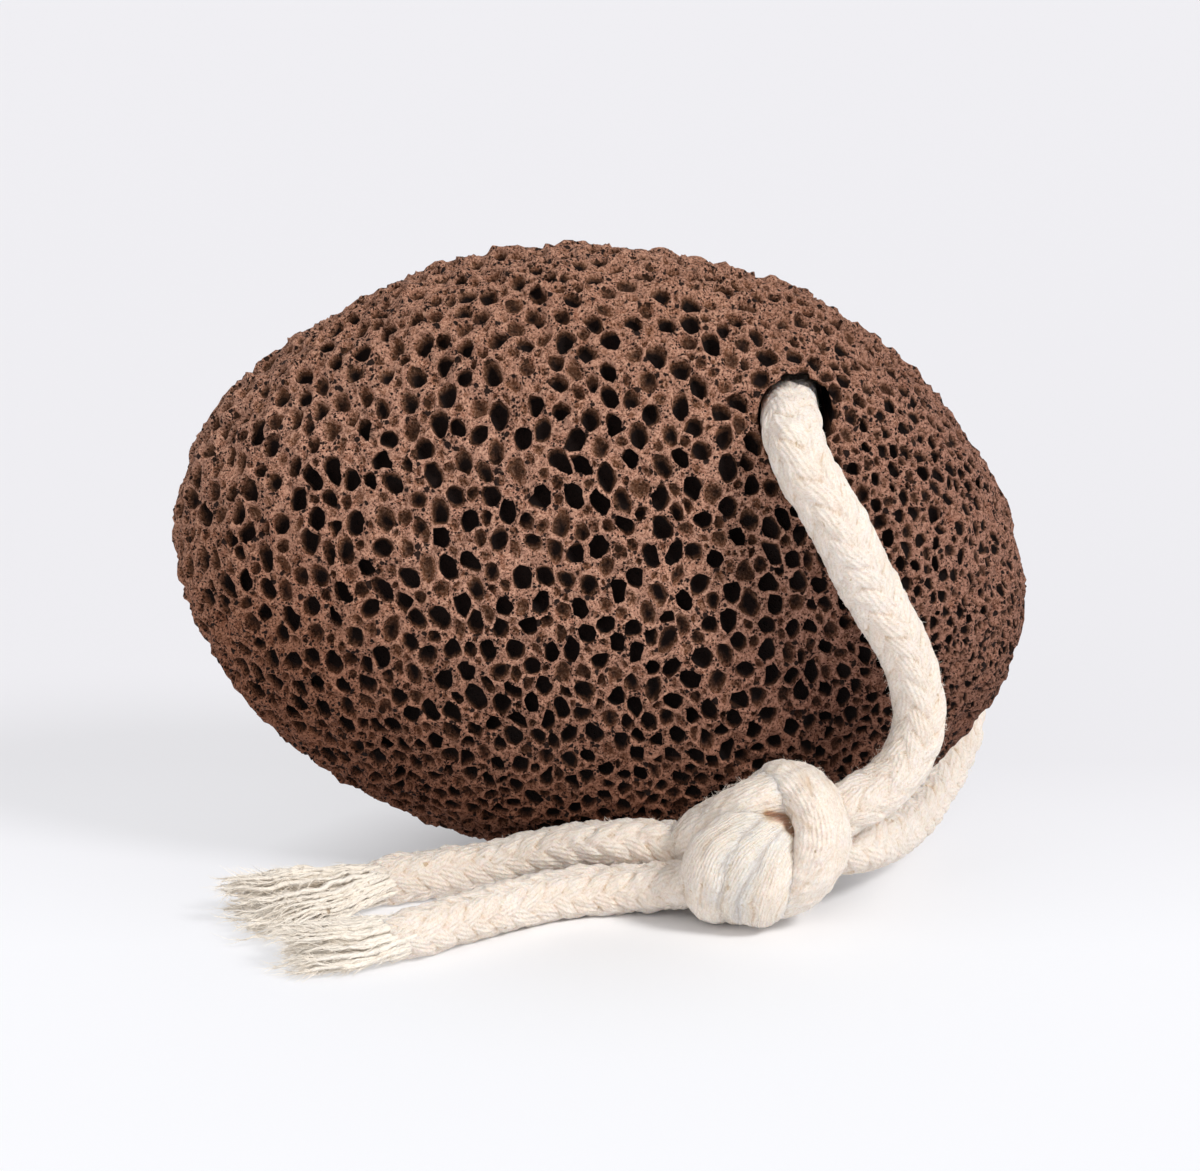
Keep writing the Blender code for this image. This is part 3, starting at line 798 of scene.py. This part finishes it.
def shape_value(x, y, z):
    """1 on the outer shape, less inside it; and its slope per mm. From the stone's centre."""
    along = x * math.cos(DIP) + z * math.sin(DIP)
    across = -x * math.sin(DIP) + z * math.cos(DIP)
    face = np.sqrt((along / HALF_LENGTH) ** 2 + (across / HALF_WIDTH) ** 2)
    wavy = face / outline_scale(np.arctan2(z, x))
    depth = np.abs(y) / HALF_THICKNESS
    value = (depth ** ROUNDNESS + wavy ** ROUNDNESS) ** (1.0 / ROUNDNESS)
    value = np.maximum(value, 1e-3)
    power = ROUNDNESS - 1.0
    tilt = (along / HALF_LENGTH ** 2) ** 2 + (across / HALF_WIDTH ** 2) ** 2
    slope = value ** -power * np.sqrt(
        (depth ** power / HALF_THICKNESS) ** 2
        + wavy ** (2.0 * power) * tilt / np.maximum(face, 1e-3) ** 2)
    return value, np.maximum(slope, 1e-3)


def random_surface_points(random, tries):
    """Points spread evenly over the outer shape, with outward normals, in mm."""
    direction = unit(random.normal(size=(tries * 3, 3)))
    value, _ = shape_value(*direction.T)
    points = direction / value[:, None]
    small = 0.05
    normals = np.column_stack([
        shape_value(*(points + small * axis).T)[0] - shape_value(*(points - small * axis).T)[0]
        for axis in np.eye(3)])
    normals = unit(normals)
    weight = np.sum(points ** 2, axis=1) / np.maximum(np.sum(normals * direction, axis=1), 0.2)
    keep = random.uniform(0, weight.max(), len(points)) < weight
    return points[keep][:tries] + CENTRE, normals[keep][:tries]


def pore_size(points):
    """Share of the full pore size: 1 at the left, much finer at the right end's foot."""
    x, _, z = (points - CENTRE).T
    right = smoothstep(12.0, 40.0, x)
    fine = smoothstep(34.0, 50.0, x - 0.55 * z)
    under = smoothstep(-6.0, -30.0, z)
    return (1.0 - 0.36 * right) * (1.0 - 0.36 * fine) * (1.0 - 0.18 * under)


def open_share(points):
    """How openly the rock has foamed: 0 on the broad flats at the upper left, 1 below."""
    x, _, z = (points - CENTRE).T
    under = smoothstep(-2.0, -24.0, z)
    sparse = smoothstep(0.0, 24.0, z - 0.50 * x)
    end = smoothstep(26.0, 46.0, x)
    return np.clip(0.72 + 0.30 * under - 0.40 * sparse - 0.06 * end, 0.0, 1.0)


def scatter_pores(random):
    """Rows of centre x, y, z, cross radius and stretch, packed from large to small."""
    flow = np.array((math.cos(FLOW), 0.0, math.sin(FLOW)))
    boxes, kept = {}, []
    for small, large, longest, tries, overlap, deep, shallow in PORE_CLASSES:
        points, normals = random_surface_points(random, tries)
        radii = random.uniform(small, large, len(points)) * pore_size(points)
        radii = np.maximum(radii, LEAST_PORE)
        order = np.argsort(-radii)
        openness = open_share(points)
        sink = shallow + (deep - shallow) * random.beta(1.3 + 1.7 * openness, 1.15)
        for i in order:
            if random.uniform() > 0.45 + 0.75 * openness[i]:
                continue
            radius = radii[i]
            centre = points[i] - normals[i] * radius * sink[i]
            length = random.uniform(1.0, longest)
            flat = centre - flow * np.dot(centre, flow) * FLOW_SHRINK
            home = tuple(np.floor(flat / PACKING_CELL).astype(int))
            near = [entry for dx in (-1, 0, 1) for dy in (-1, 0, 1) for dz in (-1, 0, 1)
                    for entry in boxes.get((home[0] + dx, home[1] + dy, home[2] + dz), ())]
            if near:
                others = np.array(near)
                gap = np.sqrt(np.sum((others[:, :3] - flat) ** 2, axis=1))
                spare = (1.0 - 0.15 * openness[i] ** 2) * overlap
                if np.any(gap < spare * (others[:, 3] + radius) + LEAST_GAP):
                    continue
            boxes.setdefault(home, []).append((*flat, radius))
            kept.append((*centre, radius, length))
    return np.array(kept)


def grid_axes():
    low = np.array((-52.0, -24.5, -1.0))
    high = np.array((52.0, 24.5, 75.0))
    return [np.arange(a, b, VOXEL, dtype=np.float32) for a, b in zip(low, high)]


class Patch:
    """The part of the grid within reach of a point, and distances from it."""

    def __init__(self, axes, centre, reach):
        self.window, self.away = [], []
        for k, (axis, middle) in enumerate(zip(axes, centre)):
            span = slice(int(np.searchsorted(axis, middle - reach)),
                         int(np.searchsorted(axis, middle + reach)))
            shape = [1, 1, 1]
            shape[k] = -1
            self.window.append(span)
            self.away.append((axis[span] - np.float32(middle)).reshape(shape))
        self.window = tuple(self.window)

    def egg(self, shift, radius, length, lean):
        """Signed distance, about, from an egg stretched in the direction lean."""
        dx, dy, dz = (away - np.float32(s) for away, s in zip(self.away, shift))
        along = dx * math.cos(lean) + dz * math.sin(lean)
        across = -dx * math.sin(lean) + dz * math.cos(lean)
        return np.sqrt((along / length) ** 2 + across ** 2 + dy ** 2) - np.float32(radius)


def dish_field(axes, random):
    """Distance outside the wide shallow hollows that make the flats uneven."""
    field = np.full(tuple(len(axis) for axis in axes), 3.0, np.float32)
    points, normals = random_surface_points(random, DISHES)
    for point, normal, share in zip(points, normals, open_share(points)):
        radius = random.uniform(1.0, 2.7)
        depth = random.uniform(0.12, 0.60) * (1.0 - 0.3 * share)
        centre = point + normal * (radius - depth)
        length = random.uniform(1.0, 1.4)
        patch = Patch(axes, centre, radius * length + 0.5)
        part = field[patch.window]
        lean = FLOW + random.normal(0.0, 0.5)
        np.minimum(part, patch.egg((0.0, 0.0, 0.0), radius, length, lean), out=part)
    return field


def pore_field(axes, random):
    """Distance outside the nearest pore, and the same with walls kept between pores."""
    first = np.full(tuple(len(axis) for axis in axes), 4.0, np.float32)
    second = first.copy()
    for x, y, z, radius, length in scatter_pores(random):
        patch = Patch(axes, (x, y, z), radius * length * 1.35 + 0.7)
        lean = FLOW + random.normal(0.0, 0.26)
        away = patch.egg((0.0, 0.0, 0.0), radius, length, lean)
        if random.uniform() < 0.45:
            # two bubbles that ran together
            shift = unit(random.normal(size=3)) * radius * random.uniform(0.45, 0.8)
            other = patch.egg(shift, radius * random.uniform(0.55, 0.85), 1.1, lean)
            away = np.minimum(away, other)
        part_first, part_second = first[patch.window], second[patch.window]
        np.minimum(part_second, np.maximum(part_first, away), out=part_second)
        np.minimum(part_first, away, out=part_first)
    walled = np.maximum(first, np.float32(PORE_WALL) - (second - first))
    return first, walled


def stone_fields(axes, random):
    """The rock's field, negative inside; the skin it has without pores; and the distance
    outside the nearest pore. All in mm."""
    skin = dish_field(axes, random)
    first, field = pore_field(axes, random)
    x = axes[0][:, None] - np.float32(CENTRE[0])
    z = axes[2][None, :] - np.float32(CENTRE[2])
    hole = HOLE_RADIUS - np.sqrt((axes[0][:, None] - HOLE_X) ** 2
                                 + (axes[2][None, :] - HOLE_Z) ** 2)
    foot = np.broadcast_to(0.04 - axes[2][None, :], hole.shape)
    for j, y in enumerate(axes[1]):
        value, slope = shape_value(x, np.full_like(x, y), z)
        skin[:, j, :] = soft_max((value - 1.0) / slope, -skin[:, j, :], 0.09)
        rock = soft_max(skin[:, j, :], -field[:, j, :], 0.10)
        field[:, j, :] = np.maximum(np.maximum(rock, hole), foot)
    return field, skin, first


def read_field(field, axes, points):
    """Values of a field at points, from the eight grid corners round each."""
    at = (points - np.array([axis[0] for axis in axes])) / VOXEL
    at = np.clip(at, 0.0, np.array(field.shape) - 1.001)
    low = at.astype(int)
    t = at - low
    total = np.zeros(len(points))
    for corner in np.ndindex(2, 2, 2):
        weight = np.prod(np.where(corner, t, 1.0 - t), axis=1)
        i, j, k = (low + corner).T
        total += weight * field[i, j, k]
    return total


def surface_net(field, axes):
    """Quads over the zero surface of a field, one vertex in each cell that it crosses."""
    inside = field < 0.0
    shape = np.array(field.shape)
    corners, facing, crossings = [], [], []
    for axis in range(3):
        low = [slice(None)] * 3
        high = [slice(None)] * 3
        low[axis], high[axis] = slice(0, -1), slice(1, None)
        crossed = inside[tuple(low)] != inside[tuple(high)]
        at = np.argwhere(crossed)
        before = field[tuple(low)][crossed]
        after = field[tuple(high)][crossed]
        point = at.astype(np.float64)
        point[:, axis] += before / (before - after)
        b, c = (axis + 1) % 3, (axis + 2) % 3
        ring = []
        for db, dc in ((0, 0), (-1, 0), (-1, -1), (0, -1)):
            cell = at.copy()
            cell[:, b] += db
            cell[:, c] += dc
            ring.append(np.ravel_multi_index(cell.T, shape))
        corners.append(np.column_stack(ring))
        facing.append(inside[tuple(low)][crossed])
        crossings.append(point)
    corners, facing = np.vstack(corners), np.concatenate(facing)
    crossings = np.vstack(crossings)
    cells, faces = np.unique(corners, return_inverse=True)
    faces = faces.reshape(corners.shape)
    count = np.bincount(faces.ravel())
    verts = np.column_stack([
        np.bincount(faces.ravel(), weights=np.repeat(crossings[:, k], 4)) / count
        for k in range(3)])
    faces[~facing] = faces[~facing][:, ::-1]
    verts = np.array([axis[0] for axis in axes]) + verts * VOXEL
    return verts, faces


def largest_piece(verts, faces):
    """Drops loose crumbs and closed bubbles inside the rock."""
    label = np.arange(len(verts))
    edges = np.vstack([faces[:, [0, 1]], faces[:, [1, 2]], faces[:, [2, 3]]])
    while True:
        low = np.minimum(label[edges[:, 0]], label[edges[:, 1]])
        new = label.copy()
        np.minimum.at(new, label[edges[:, 0]], low)
        np.minimum.at(new, label[edges[:, 1]], low)
        new = new[new]
        new = new[new]
        if np.array_equal(new, label):
            break
        label = new
    best = np.bincount(label).argmax()
    keep = label == best
    index = np.cumsum(keep) - 1
    return verts[keep], index[faces[keep[faces[:, 0]]]]


def hollow_depth(points):
    """How far the front is pushed in by the long shallow hollow on the left of the cord."""
    away = distance_from_line(points, HOLLOW_FROM, HOLLOW_TO)
    front = smoothstep(-4.0, -12.0, points[:, 1])
    return HOLLOW_DEPTH * np.exp(-(away / HOLLOW_REACH) ** 2) * front


def build_stone():
    random = np.random.default_rng(21)
    axes = grid_axes()
    field, skin, pores = stone_fields(axes, random)
    verts, faces = largest_piece(*surface_net(field, axes))
    rough = add_mesh("lava_stone", verts, faces, pumice_material())
    lighter = rough.modifiers.new("lighter", "DECIMATE")
    lighter.ratio = min(1.0, STONE_TRIANGLES / (2.0 * len(faces)))
    lighter.use_collapse_triangulate = True
    final = bpy.data.meshes.new_from_object(
        rough.evaluated_get(bpy.context.evaluated_depsgraph_get()))
    rough.modifiers.clear()
    rough.data = final

    points = np.empty(len(final.vertices) * 3, np.float32)
    final.vertices.foreach_get("co", points)
    points = points.reshape(-1, 3).astype(np.float64) / MM
    depth = -read_field(skin, axes, points)
    # edge: where the painted highlight goes, on thin walls between pores and on the ridges, not
    # deep in the hollows
    edge = smoothstep(0.27, 0.0, read_field(pores, axes, points))
    value, slope = shape_value(*(points - CENTRE).T)
    ridge = smoothstep(0.16, 0.04, (1.0 - value) / slope)
    edge = np.maximum(edge, 0.7 * ridge) * smoothstep(0.45, 0.1, depth)
    # how far below the skin, scaled up where the pores are finer, sets the painted shade inside
    # the pores
    shade = depth / pore_size(points) ** 1.5
    add_values(final, {"depth": shade, "edge": edge})
    points += sum(drift(points, random, *wave) for wave in UNEVENNESS)
    points[:, 1] += hollow_depth(points)
    points[:, 2] = np.maximum(points[:, 2], 0.0)
    final.vertices.foreach_set("co", (points * MM).astype(np.float32).ravel())
    final.update()
    return place(rough, "stone")


# --- stage and light ---
def add_stage():
    n = Nodes("studio_paper")
    where = n.add("ShaderNodeTexCoord").outputs["Object"]
    axes = n.add("ShaderNodeSeparateXYZ", Vector=where)
    # painted shade: the floor and backdrop are darker towards the back, as the light falls off
    back = n.range(axes.outputs["Y"], -0.035, 0.03)
    colour = n.mix(back, rgb(0.275, 0.28, 0.30), rgb(0.175, 0.17, 0.19))
    # painted light: the floor glows, as if lit from below, but not round the cord, and is paler
    # there instead
    glow = n.range(n.distance(where, UNLIT_SPOT), 0.012, 0.048)
    colour = n.mix(glow, rgb(0.88, 0.885, 0.905), colour)
    paper = n.finish(colour, Roughness=0.9, Specular_IOR_Level=0.1,
                     Emission_Color=rgb(0.985, 0.985, 1.0),
                     Emission_Strength=n.math("MULTIPLY", glow, STAGE_GLOW))
    # a floor that curves up far behind into a backdrop
    profile = [(FLOOR_FRONT, 0.0), (FLOOR_BACK, 0.0)]
    for degrees in np.linspace(7.5, 90.0, 12):
        angle = math.radians(degrees)
        profile.append((FLOOR_BACK + BACKDROP_BEND * math.sin(angle),
                        BACKDROP_BEND * (1.0 - math.cos(angle))))
    profile.append((FLOOR_BACK + BACKDROP_BEND, BACKDROP_TOP))
    verts = [(x, y, z) for y, z in profile for x in (-FLOOR_HALF_WIDTH, FLOOR_HALF_WIDTH)]
    faces = [(2 * i, 2 * i + 1, 2 * i + 3, 2 * i + 2) for i in range(len(profile) - 1)]
    floor = add_mesh("studio", np.array(verts) / MM, faces, paper)


def add_sun(name, azimuth, rise, strength, softness, colour):
    data = bpy.data.lights.new(name, "SUN")
    data.energy = strength
    data.angle = math.radians(softness)
    data.color = colour
    light = bpy.data.objects.new(name, data)
    level = math.cos(math.radians(rise))
    towards = Vector((level * math.sin(math.radians(azimuth)),
                      -level * math.cos(math.radians(azimuth)), math.sin(math.radians(rise))))
    light.location = towards
    light.rotation_euler = towards.to_track_quat("Z", "Y").to_euler()
    bpy.context.scene.collection.objects.link(light)


def add_lights():
    world = bpy.data.worlds.new("studio")
    world.use_nodes = True
    sky = world.node_tree.nodes["Background"]
    sky.inputs["Color"].default_value = rgb(0.97, 0.98, 1.0)
    sky.inputs["Strength"].default_value = SKY_LIGHT
    scene = bpy.context.scene
    scene.world = world
    for sun in SUNS:
        add_sun(*sun)
    scene.view_settings.view_transform = "Standard"
    scene.view_settings.look = "None"


add_camera()
build_all_cord()
build_stone()
add_stage()
add_lights()
